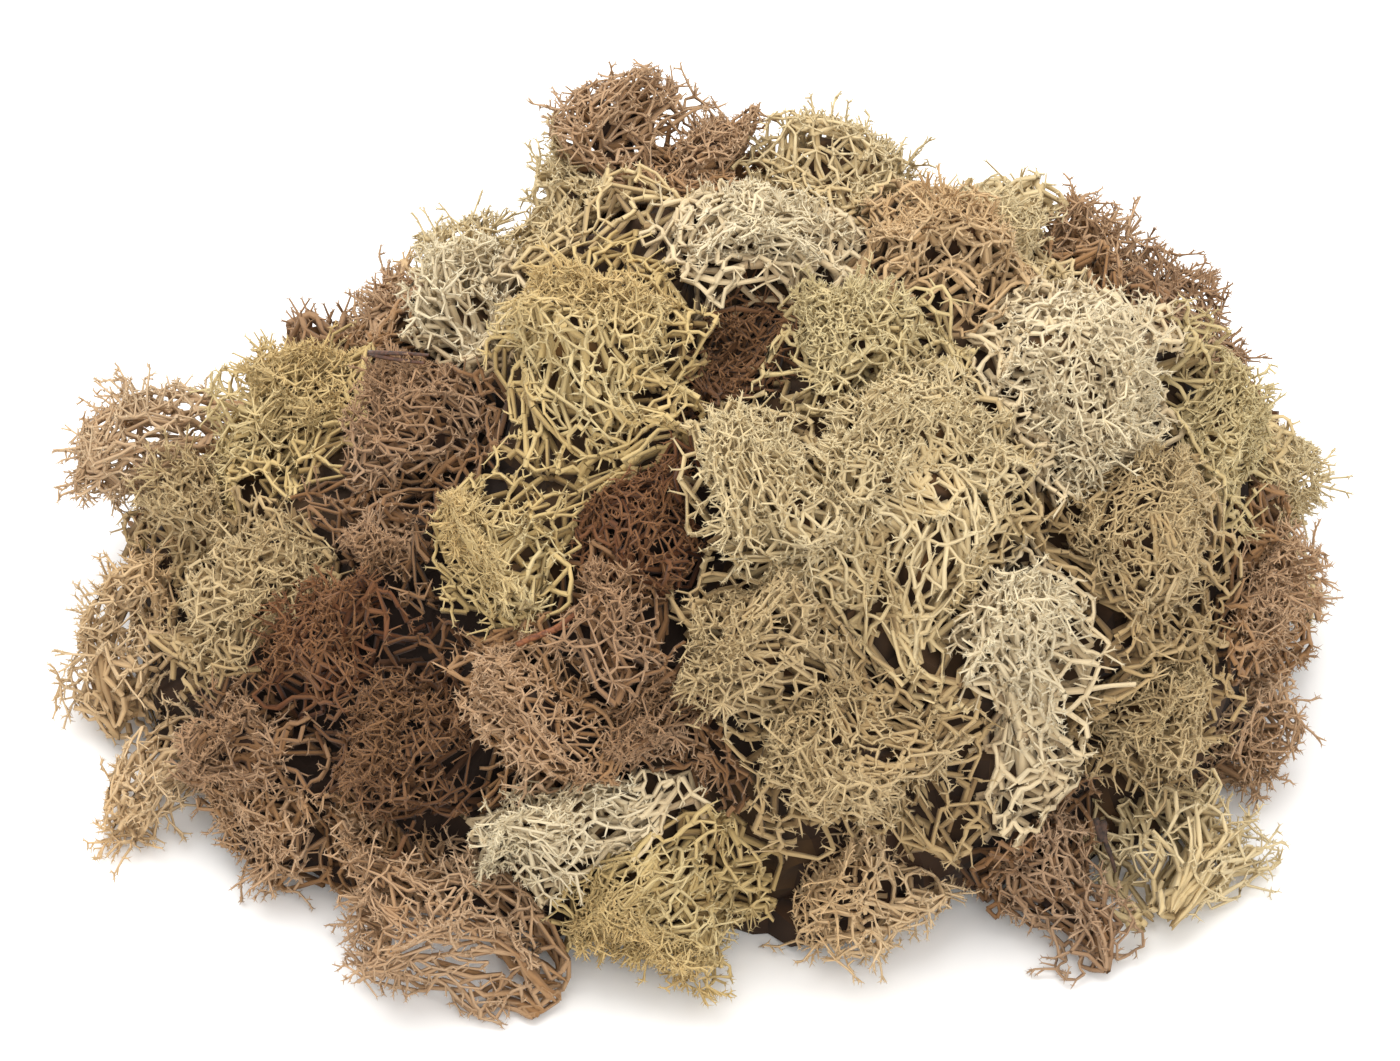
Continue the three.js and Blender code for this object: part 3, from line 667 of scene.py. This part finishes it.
def grow_heart(twigs, tuft):
    """The dense dead middle of a tuft, a rough body that fills its share of the heap under the lace, near
    black as painted deep shade.
    """
    rng = twigs.rng
    theta = np.linspace(0, math.pi, HEART_RINGS + 2)[1:-1, None]
    angle = np.linspace(0, 2 * math.pi, HEART_SIDES, endpoint=False)
    around = np.cos(angle)[:, None] * tuft.across + np.sin(angle)[:, None] * tuft.upward
    ways = np.cos(theta)[..., None] * tuft.along + np.sin(theta)[..., None] * around
    ways = np.concatenate([tuft.along[None], ways.reshape(-1, 3), -tuft.along[None]])
    centre = tuft.crown - 0.25 * tuft.radius * tuft.along
    steps = np.arange(HEART_STEP, HEART_REACH, HEART_STEP)
    trail = (centre + steps[:, None, None] * ways).reshape(-1, 3)
    own = tuft.depth(trail)
    inner = heap_level(trail, FILL_INSET + HEART_INSET + max(0, -tuft.proud)) < 1
    filled = (own > HEART_INSET) | (inner & (own > tuft.buried(trail)))
    filled = (filled & (trail[:, 2] > HEART_FLOOR)).reshape(len(steps), -1)
    reach = np.where(filled.all(0), steps[-1], steps[np.argmin(filled, axis=0)]) - HEART_STEP
    grid = reach[1:-1].reshape(HEART_RINGS, HEART_SIDES)
    for _ in range(HEART_RINGS):
        besides = [np.roll(grid, turn, axis) for turn, axis in ((1, 1), (-1, 1), (1, 0), (-1, 0))]
        for beside in besides:
            grid = np.minimum(grid, HEART_BULGE * beside + HEART_EASE)
    ends = np.minimum(reach[[0, -1]], HEART_BULGE * grid[[0, -1]].min(1) + HEART_EASE)
    reach = np.concatenate([ends[:1], grid.ravel(), ends[1:]])
    points = centre + (reach * rng.uniform(0.85, 1.0, len(ways)))[:, None] * ways
    # Ages near 0: the painted deep shade under the lace.
    ids = twigs.add(sway(points), rng.uniform(0.0, 0.12, len(points)), rng.uniform(0.2, 0.4, len(points)))
    rings = ids[1:-1].reshape(HEART_RINGS, HEART_SIDES)
    for above, below in zip(rings, rings[1:]):
        twigs.face(above, below, np.roll(below, -1))
        twigs.face(above, np.roll(below, -1), np.roll(above, -1))
    twigs.face(ids[0], rings[0], np.roll(rings[0], -1))
    twigs.face(ids[-1], np.roll(rings[-1], -1), rings[-1])


def grow_core(twigs, tuft):
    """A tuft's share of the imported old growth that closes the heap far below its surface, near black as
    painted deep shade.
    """
    mine = core[core_owner == tuft.number]
    if len(mine) == 0:
        return
    # Ages near 0: the painted deep shade far below the heap's surface.
    ages_and_shade = twigs.rng.uniform(0.0, 0.05, mine.shape[:2])
    tones = twigs.rng.uniform(0.2, 0.4, mine.shape[:2])
    ids = twigs.add(sway(mine), ages_and_shade, tones)
    twigs.face(ids[:, 0], ids[:, 1], ids[:, 2])
    twigs.face(ids[:, 0], ids[:, 2], ids[:, 3])


def grow_stems(twigs, tuft, number, girth):
    """Long bare stems that run up close under the lace from the root and part at the crown."""
    rng = twigs.rng
    ends, normals, _, _ = bare_points(tuft, STEM_INSET, STEM_APART, STEM_APART, rng, is_open=True)
    if len(ends) == 0 or number == 0:
        return
    picks = np.linspace(0, len(ends) - 1, number).astype(int)
    ends, normals = ends[picks], normals[picks]
    lean = normals - (normals @ tuft.along)[:, None] * tuft.along
    starts = tuft.root + 0.7 * ROOT_RADIUS * lean
    starts[:, 2] = np.maximum(starts[:, 2], STEM_FOOT_FLOOR)
    bend = STEM_BEND * tuft.length
    control = tuft.root + bend * tuft.along + 0.85 * tuft.girth(bend) * lean
    share = np.linspace(0, 1, len(STEM_TAPER))[:, None]
    paths = ((1 - share) ** 2 * starts[:, None] + 2 * share * (1 - share) * control[:, None]
             + share ** 2 * ends[:, None])
    waver = [waves(paths, STEM_WAVER_LENGTH, STEM_WAVER_SEED + i) for i in range(3)]
    paths = paths + STEM_WAVER * np.stack(waver, -1)
    paths[..., 2] = np.maximum(paths[..., 2], STEM_FLOOR)
    radii = girth * rng.uniform(0.5, 0.9, (number, 1)) * STEM_TAPER
    ages_and_shade = np.linspace(0.35, 0.75, len(STEM_TAPER)) + rng.normal(0, 0.05, (number, 1))
    twigs.tubes(within_box(sway(paths)), radii, ages_and_shade, np.broadcast_to(STEM_TONE, radii.shape))


def made_of(name, twigs, material):
    """A mesh object of what has grown, in metres in the part's frame, with ages, painted shade and tones as
    its map.
    The few tips that would pass the part's own box stop at it."""
    points = np.clip(np.concatenate(twigs.points) - MIDDLE, box_low, box_high) * MM
    faces = np.concatenate(twigs.faces).astype(np.int32)
    tints = np.clip(np.concatenate(twigs.tints), 0.001, 0.999)
    mesh = bpy.data.meshes.new(name)
    mesh.vertices.add(len(points))
    mesh.vertices.foreach_set("co", points.astype(np.float32).ravel())
    mesh.loops.add(faces.size)
    mesh.loops.foreach_set("vertex_index", faces.ravel())
    mesh.polygons.add(len(faces))
    mesh.polygons.foreach_set("loop_start", np.arange(0, faces.size, 3, dtype=np.int32))
    mesh.update(calc_edges=True)
    layer = mesh.uv_layers.new(name="OFBake")
    layer.uv.foreach_set("vector", tints[faces.ravel()].astype(np.float32).ravel())
    mesh.shade_smooth()
    mesh.materials.append(material)
    piece = bpy.data.objects.new(name, mesh)
    bpy.context.scene.collection.objects.link(piece)
    return piece


def linear(hex_colour):
    """An sRGB hex colour as linear red, green, blue and alpha."""
    shares = [int(hex_colour[i:i + 2], 16) / 255 for i in (1, 3, 5)]
    return [s / 12.92 if s <= 0.04045 else ((s + 0.055) / 1.055) ** 2.4 for s in shares] + [1.0]


def add(tree, kind, values=None, links=None, **settings):
    """Adds a shader node with its settings, socket values and incoming links."""
    node = tree.nodes.new(kind)
    for name, value in settings.items():
        setattr(node, name, value)
    for socket, value in (values or {}).items():
        node.inputs[socket].default_value = value
    for socket, source in (links or {}).items():
        tree.links.new(source, node.inputs[socket])
    return node


def ramp(tree, source, stops):
    """A colour ramp over shares from 0 to 1, with its stops as (share, hex colour)."""
    node = add(tree, "ShaderNodeValToRGB", links={"Fac": source})
    elements = node.color_ramp.elements
    for element, (share, colour) in zip(elements, (stops[0], stops[-1])):
        element.position, element.color = share, linear(colour)
    for share, colour in stops[1:-1]:
        elements.new(share).color = linear(colour)
    return node.outputs["Color"]


FELT_MM = 0.22
# The colour at age 0, nearly black: painted shade on the hearts and the core deep under the lace.
DEEPEST_SHADE = "#22150b"


def dry_lichen(name, deep, stem, side, top):
    """Dry reindeer lichen: matt felted twigs, dark and stained at the base, palest at the tips on the
    flanks, and yellowed or browned at the tips on the crown's top.  Its dark colours at low ages are also
    painted shade, deep in the lace, between the tufts and on the hidden hearts and core."""
    material = bpy.data.materials.new(name)
    material.use_nodes = True
    tree = material.node_tree
    tree.nodes.clear()
    place = add(tree, "ShaderNodeUVMap", uv_map="OFBake")
    parts = add(tree, "ShaderNodeSeparateXYZ", links={"Vector": place.outputs["UV"]})
    age_and_shade, tone = parts.outputs["X"], parts.outputs["Y"]
    # Along the age: painted deepest shade at 0, then the dark base, partly older twigs and partly painted
    # shade, then the stem and the pale tips.
    flank = ramp(tree, age_and_shade, ((0.0, DEEPEST_SHADE), (0.12, deep), (0.42, stem), (0.9, side)))
    crown = ramp(tree, age_and_shade, ((0.0, DEEPEST_SHADE), (0.12, deep), (0.42, stem), (0.9, top)))
    body = add(tree, "ShaderNodeMix", links={"Factor": tone}, data_type="RGBA")
    tree.links.new(flank, body.inputs[6])
    tree.links.new(crown, body.inputs[7])
    where = add(tree, "ShaderNodeTexCoord")
    felt = add(tree, "ShaderNodeTexNoise", {"Scale": 1 / (FELT_MM * MM), "Detail": 1.0},
               {"Vector": where.outputs["Object"]})
    relief = add(tree, "ShaderNodeBump", {"Strength": 0.25, "Distance": 0.05 * MM},
                 {"Height": felt.outputs["Fac"]})
    surface = add(tree, "ShaderNodeBsdfPrincipled", {"Roughness": 0.9, "IOR": 1.45, "Sheen Weight": 0.05},
                  {"Base Color": body.outputs[2], "Normal": relief.outputs["Normal"]})
    add(tree, "ShaderNodeOutputMaterial", links={"Surface": surface.outputs["BSDF"]})
    return material


def shade_of(tuft, points):
    """0 in the open to 1 where a neighbouring tuft begins to cover a point."""
    return np.clip(1 + tuft.buried(points) / SHADED_WITHIN, 0, 1)


def grow_crown(twigs, tuft, fine, coarse, girth, stretch, sprigs, bare_stem, is_open):
    """A tuft's own lace in layers, and its last twigs on the outermost of them."""
    rng = twigs.rng
    nets = []
    for inset, coarser, thicker, age_and_shade in NET_LAYERS[:OPEN_LAYERS if is_open else None]:
        apart = NET_COARSER * coarser * np.array([1.2 * fine, coarse])
        bare = bare_points(tuft, inset, *apart, rng, is_open, 0 if nets else bare_stem)
        # Deeper layers are darker, partly older twigs and partly painted shade; all are darker still, as
        # painted shade, where a neighbouring tuft comes close.
        ages_and_shade = age_and_shade - 0.16 * shade_of(tuft, bare[0]) + 0.05 * waves(bare[0], *AGE_PATCHES)
        ages_and_shade += rng.normal(0, 0.03, len(ages_and_shade))
        nets.append(grow_net(twigs, tuft, bare, ages_and_shade, 0.6 * bare[2], thicker * girth, stretch,
                             is_bowed=not nets))
    points, normals, top, _ = bare_points(tuft, 0, fine, coarse, rng, is_open, bare_stem, is_tip=True)
    # Painted shade: tips are darker where a neighbouring tuft comes close.
    ends = TIP_AGE - 0.25 * shade_of(tuft, points) + 0.04 * waves(points, *AGE_PATCHES)
    tones = top + 0.12 * waves(points, *TONE_PATCHES)
    grow_tips(twigs, points, normals, ends, tones, nets[0], girth, sprigs)


def grow_fill(twigs, tuft, girth):
    """A tuft's share of the lace in the gaps between the tufts, darker as painted shade."""
    nets = []
    for points, normals, owner, apart, age_and_shade in fill_nets:
        points, normals = points[owner == tuft.number], normals[owner == tuft.number]
        plain = np.ones(len(points))
        ages_and_shade = age_and_shade + 0.06 * waves(points, *AGE_PATCHES)
        nets.append(grow_net(twigs, tuft, (points, normals, plain, apart * plain), ages_and_shade,
                             FILL_TONE * plain, FILL_GIRTH * girth, 1, is_bowed=not nets))
    points, normals, owner = fill_tips
    points, normals = points[owner == tuft.number], normals[owner == tuft.number]
    plain = np.ones(len(points))
    grow_tips(twigs, points, normals, FILL_TIP_AGE_AND_SHADE * plain, FILL_TONE * plain, nets[0], girth)


def lay_tufts(nodes, slot, material, fine=0.9, coarse=1.7, girth=1.0, stretch=0.8, sprigs=0.02,
              stems=0, bare_stem=0.0, is_open=False):
    """Grows every tuft of each node and puts it in the node's place.  Fine and coarse are how far
    apart the last twigs stand on top and on the flanks.  A stretch below 1 draws the meshes of the
    lace out along the stalk.  An open tuft is loose to its middle."""
    for node in nodes:
        own = [tuft for tuft in tufts if tuft.node == node]
        twigs = Twigs(np.random.default_rng(TUFT_SEED + own[0].number))
        for tuft in own:
            grow_crown(twigs, tuft, fine, coarse, girth, stretch, sprigs, bare_stem, is_open)
            grow_stems(twigs, tuft, stems, girth)
            grow_core(twigs, tuft)
            if not is_open:
                grow_fill(twigs, tuft, girth)
                grow_heart(twigs, tuft)
        piece = made_of(node + "_twigs", twigs, material)
        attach(piece, "root")
        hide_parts(node)


# The cream is matt and warm, with brown stems that show through its meshes.  Tufts at the back,
# here and below, are of thicker twigs further apart.
BACK_LACE = {"fine": 2.2, "coarse": 2.8, "girth": 1.1}
cream_felt = dry_lichen("cream_felted_twig", "#765430", "#c8b081", "#d0be97", "#ccb98f")
lay_tufts(["cream_crest", "cream_spire", "far_cream", "rim_cream"],
          "cream_lichen", cream_felt, fine=0.86, sprigs=0.06)
lay_tufts(["front_crown"], "cream_lichen", cream_felt, fine=0.82, coarse=1.65, girth=1.1,
          stretch=0.6)
lay_tufts(["right_low_spray"], "cream_lichen", cream_felt, fine=1.6, coarse=2.0, stretch=0.5,
          sprigs=0.25, stems=16, bare_stem=0.4, is_open=True)
lay_tufts(["back_cream", "back_right"], "cream_lichen", cream_felt, **BACK_LACE)

# Gold crowns, the ones that dried in the sun: close round heads whose tops have gone ochre while
# their flanks stay cream.
gold_felt = dry_lichen("sun_yellowed_twig", "#6c4d26", "#c2a871", "#ccba8c", "#c5a871")
lay_tufts(["gold_dome", "centre_crown", "small_gold", "bottom_gold"],
          "gold_lichen", gold_felt, fine=0.76)

# Greenish crowns, which keep a little of the living lichen's grey-green usnic tint.
green_felt = dry_lichen("grey_green_twig", "#684a28", "#c0aa79", "#cab98d", "#c6b486")
lay_tufts(["green_crown", "cream_right"], "green_lichen", green_felt, fine=0.88)

# Low cream tufts, which hang low on the heap, in a darker copy of the cream: partly painted shade, partly
# older, browner twigs.
shaded_older_felt = dry_lichen("shaded_older_cream_twig", "#5a3c1c", "#ac9165", "#bfa981", "#bba479")
lay_tufts(["cream_flank"], "cream_lichen", shaded_older_felt, sprigs=0.06)
lay_tufts(["front_curtain"], "cream_lichen", shaded_older_felt, fine=1.0, coarse=1.6, girth=1.1,
          stretch=0.6, stems=24, bare_stem=0.3)
lay_tufts(["gold_right"], "gold_lichen", shaded_older_felt, fine=0.8)
lay_tufts(["tan_right_low"], "green_lichen", shaded_older_felt, fine=0.88)

# Pale tufts, bleached to a pinkish white, with open heads of thick smooth twigs.
pale_felt = dry_lichen("bleached_twig", "#765838", "#cdb892", "#d9cbac", "#d6c7a5")
lay_tufts(["pale_saddle", "pale_shoulder", "weeping_pale", "pale_bottom"],
          "pale_lichen", pale_felt, fine=0.94, coarse=1.5, girth=1.1, sprigs=0.05)
lay_tufts(["front_side_spray"], "pale_lichen", pale_felt, fine=1.1, coarse=1.7, girth=1.15,
          stretch=0.6, stems=24, bare_stem=0.35)
lay_tufts(["back_pale"], "pale_lichen", pale_felt, **BACK_LACE)

# Tan tufts, half decayed, some of them loose stalks that let the light through.
tan_felt = dry_lichen("weathered_tan_twig", "#56371a", "#bb9b70", "#ccb28c", "#caa97c")
lay_tufts(["tan_bridge"], "tan_lichen", tan_felt, fine=0.95)
lay_tufts(["left_stalks", "left_corner", "bottom_fringe"], "tan_lichen", tan_felt,
          fine=1.4, coarse=1.8, stretch=0.6, sprigs=0.2, stems=9, bare_stem=0.2, is_open=True)
lay_tufts(["back_left_shoulder", "back_tan", "back_right_low"], "tan_lichen", tan_felt, **BACK_LACE)

# Taupe tufts, grey-brown with age.
taupe_felt = dry_lichen("grey_brown_twig", "#311a08", "#7c5835", "#ad8f71", "#a27f5d")
lay_tufts(["taupe_right"], "taupe_lichen", taupe_felt, fine=0.95, sprigs=0.06)
lay_tufts(["taupe_left", "grey_hollow", "taupe_tangle"], "taupe_lichen", taupe_felt, fine=0.95)
lay_tufts(["brown_low_right"], "taupe_lichen", taupe_felt, fine=1.1, coarse=1.5, sprigs=0.06)
lay_tufts(["back_left", "back_low", "back_taupe"], "taupe_lichen", taupe_felt, **BACK_LACE)

# Faded tufts, brown ones that the sun has bleached again.
faded_felt = dry_lichen("faded_brown_twig", "#3c240f", "#966f47", "#bc9e7d", "#b49371")
lay_tufts(["taupe_crest", "taupe_low_left"], "taupe_lichen", faded_felt, fine=1.0, sprigs=0.06)
lay_tufts(["tan_tangle"], "tan_lichen", faded_felt, fine=0.95)
lay_tufts(["brown_peak", "brown_crest", "brown_right", "brown_shoulder"],
          "brown_lichen", faded_felt, fine=0.95, sprigs=0.06)
lay_tufts(["bottom_spray", "brown_right_low"], "brown_lichen", faded_felt, fine=1.2, coarse=1.6,
          stretch=0.6, sprigs=0.12, stems=14, bare_stem=0.2, is_open=True)

# Brown tufts, the dead lower growth turned up to the light.
brown_felt = dry_lichen("dead_brown_twig", "#2a1405", "#5f3d20", "#876241", "#7d5937")
lay_tufts(["brown_net"], "brown_lichen", brown_felt, fine=0.95)
lay_tufts(["back_left_low", "back_brown", "back_corner"], "brown_lichen", brown_felt, **BACK_LACE)

# Rust tufts, stained red-brown where they lay on wet bark, one of them nearly washed out.
rust_felt = dry_lichen("rust_stained_twig", "#260f03", "#633a1d", "#8c6541", "#7e5531")
lay_tufts(["rust_left", "rust_heart"], "rust_lichen", rust_felt, fine=0.95)
washed_felt = dry_lichen("washed_rust_twig", "#4f3019", "#a07b56", "#ccb28f", "#c4a580")
lay_tufts(["left_spray"], "rust_lichen", washed_felt, fine=1.4, coarse=1.8, stretch=0.6,
          sprigs=0.25, stems=14, bare_stem=0.3, is_open=True)

# Old stems, the oldest dead growth, nearly black.  They carry the clump and fill its hollows.
old_felt = dry_lichen("old_dead_stem", "#200f06", "#5c3c21", "#7c5636", "#765230")
lay_tufts(["dark_hollow", "old_stems"], "dark_lichen", old_felt, fine=1.0)

# A pair of pine needles, smooth and dark brown, stuck together at their sheath.
ROD_SIDES = 8
ROD_STEPS = 10
LITTER_SEED = 7
LINE_OF_SIGHT = np.array([0, -math.cos(LEAN), math.sin(LEAN)])


def taper(twigs, piece, start, end, radii, bow, rough):
    """A closed round rod between two places given along and beside a piece's axis, bowed a little
    and rough by a share of its radius."""
    rng = twigs.rng
    beside = unit(np.cross(LINE_OF_SIGHT, piece.along))
    ends = [piece.root + share * piece.length * piece.along + side * beside for share, side in (start, end)]
    way = unit(ends[1] - ends[0])
    over = np.cross(way, beside)
    angles = np.linspace(0, 2 * math.pi, ROD_SIDES, endpoint=False)
    spread = np.cos(angles)[:, None] * beside + np.sin(angles)[:, None] * over
    ids = []
    for step in np.linspace(0, 1, ROD_STEPS):
        centre = ends[0] + step * (ends[1] - ends[0]) + bow * math.sin(math.pi * step) * beside
        radius = radii[0] + step * (radii[1] - radii[0])
        radius = radius * (1 + rough * rng.uniform(-1, 1, (ROD_SIDES, 1)))
        ids.append(twigs.add(centre + radius * spread, step, rng.uniform()))
    for low, high in zip(ids, ids[1:]):
        twigs.face(low, np.roll(low, -1), np.roll(high, -1))
        twigs.face(low, np.roll(high, -1), high)
    for ring, end_point, turned in ((ids[0], ends[0], True), (ids[-1], ends[1], False)):
        centre = np.full(ROD_SIDES, twigs.add(end_point[None], float(not turned), 0.5)[0])
        following = np.roll(ring, -1)
        if turned:
            twigs.face(centre, following, ring)
        else:
            twigs.face(centre, ring, following)


def plain_bark(name, dark, light, grain_mm, roughness):
    """Thin dead bark or needle skin: mottled dark brown and a little rough, with at most a dull gloss."""
    material = bpy.data.materials.new(name)
    material.use_nodes = True
    tree = material.node_tree
    tree.nodes.clear()
    where = add(tree, "ShaderNodeTexCoord")
    grain = add(tree, "ShaderNodeTexNoise", {"Scale": 1 / (grain_mm * MM), "Detail": 3.0},
                {"Vector": where.outputs["Object"]})
    colour = ramp(tree, grain.outputs["Fac"], ((0.35, dark), (0.65, light)))
    relief = add(tree, "ShaderNodeBump", {"Strength": 0.4, "Distance": 0.1 * MM},
                 {"Height": grain.outputs["Fac"]})
    surface = add(tree, "ShaderNodeBsdfPrincipled", {"Roughness": roughness, "IOR": 1.5},
                  {"Base Color": colour, "Normal": relief.outputs["Normal"]})
    add(tree, "ShaderNodeOutputMaterial", links={"Surface": surface.outputs["BSDF"]})
    return material


def lay_litter(node, material, rods, rough):
    """Puts a piece of litter made of tapered rods in its node's place."""
    twigs = Twigs(np.random.default_rng(LITTER_SEED))
    for start, end, radii, bow in rods:
        taper(twigs, litter[node], start, end, radii, bow, rough)
    piece = made_of(node + "_fine", twigs, material)
    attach(piece, "root")
    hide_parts(node)


needle_skin = plain_bark("dry_needle_skin", "#2c1a10", "#5a3520", grain_mm=0.6, roughness=0.45)
lay_litter("pine_needles", needle_skin,
           [((0, 0.1), (1, 0.6), (0.42, 0.22), 0.1),
            ((0.01, -0.12), (0.94, -0.6), (0.4, 0.22), -0.1)], 0.03)

# A twig of heather, rust red, with one short side shoot.
twig_bark = plain_bark("rusty_twig_bark", "#5a3019", "#8a532e", grain_mm=0.5, roughness=0.7)
lay_litter("rusty_twig", twig_bark,
           [((0, 0.3), (0.62, -0.32), (0.42, 0.5), 0.1), ((0.58, -0.28), (1, 0.4), (0.46, 0.34), -0.1),
            ((0.5, -0.2), (0.8, -0.75), (0.34, 0.2), 0)], 0.12)

# A flake of pine bark with a thin bare twig.
pine_bark = plain_bark("pine_bark", "#1d130d", "#4a3122", grain_mm=0.8, roughness=0.8)
lay_litter("bark_flake", pine_bark,
           [((0, -0.4), (0.36, -0.2), (0.45, 0.75), 0), ((0.08, 0.4), (0.4, 0), (0.65, 0.45), 0),
            ((0.3, 0), (1, 0.3), (0.42, 0.26), 0.1)], 0.2)

# The table that the clump lies on: a plain matt white sheet.
FLOOR_HALF = 3.0
floor_mesh = bpy.data.meshes.new("floor")
floor_mesh.from_pydata(
    [(-FLOOR_HALF, -FLOOR_HALF, 0), (FLOOR_HALF, -FLOOR_HALF, 0),
     (FLOOR_HALF, FLOOR_HALF, 0), (-FLOOR_HALF, FLOOR_HALF, 0)], [], [(0, 1, 2, 3)])
floor = bpy.data.objects.new("floor", floor_mesh)
bpy.context.scene.collection.objects.link(floor)
white_sheet = bpy.data.materials.new("matt_white_sheet")
white_sheet.use_nodes = True
white_sheet.node_tree.nodes["Principled BSDF"].inputs["Base Color"].default_value = linear("#f6f5f3")
white_sheet.node_tree.nodes["Principled BSDF"].inputs["Roughness"].default_value = 0.9
floor_mesh.materials.append(white_sheet)

# Soft studio light: a wide softbox overhead, a weaker one in front, and a pale room.
AIM = Vector((0, 0, 0.03))


def softbox(name, place, size, power):
    lamp = bpy.data.lights.new(name, "AREA")
    lamp.shape = "DISK"
    lamp.size = size
    lamp.energy = power
    box = bpy.data.objects.new(name, lamp)
    box.location = place
    box.rotation_euler = (AIM - Vector(place)).to_track_quat("-Z", "Y").to_euler()
    bpy.context.scene.collection.objects.link(box)


softbox("softbox_over", place=(-0.2, 0.35, 1.4), size=1.4, power=18)
softbox("softbox_front", place=(0.3, -1.3, 1.3), size=1.0, power=9)
room = bpy.data.worlds.new("pale_room")
room.use_nodes = True
room.node_tree.nodes["Background"].inputs["Color"].default_value = linear("#ffffff")
room.node_tree.nodes["Background"].inputs["Strength"].default_value = 1.15
bpy.context.scene.world = room
bpy.context.scene.view_settings.view_transform = "Standard"

# The camera looks down on the clump's front with a long lens.
VIEW_WIDTH = 0.2059
CAMERA_DISTANCE = 1.2
TARGET = Vector((-0.0005, -0.0083, 0.035))
eye = bpy.data.cameras.new("camera")
eye.sensor_width = 36
eye.lens = eye.sensor_width * CAMERA_DISTANCE / VIEW_WIDTH
eye.clip_start = 0.05
eye.clip_end = 20
camera = bpy.data.objects.new("camera", eye)
away = Vector(LINE_OF_SIGHT)
camera.location = TARGET + CAMERA_DISTANCE * away
camera.rotation_euler = (-away).to_track_quat("-Z", "Y").to_euler()
bpy.context.scene.collection.objects.link(camera)
bpy.context.scene.camera = camera
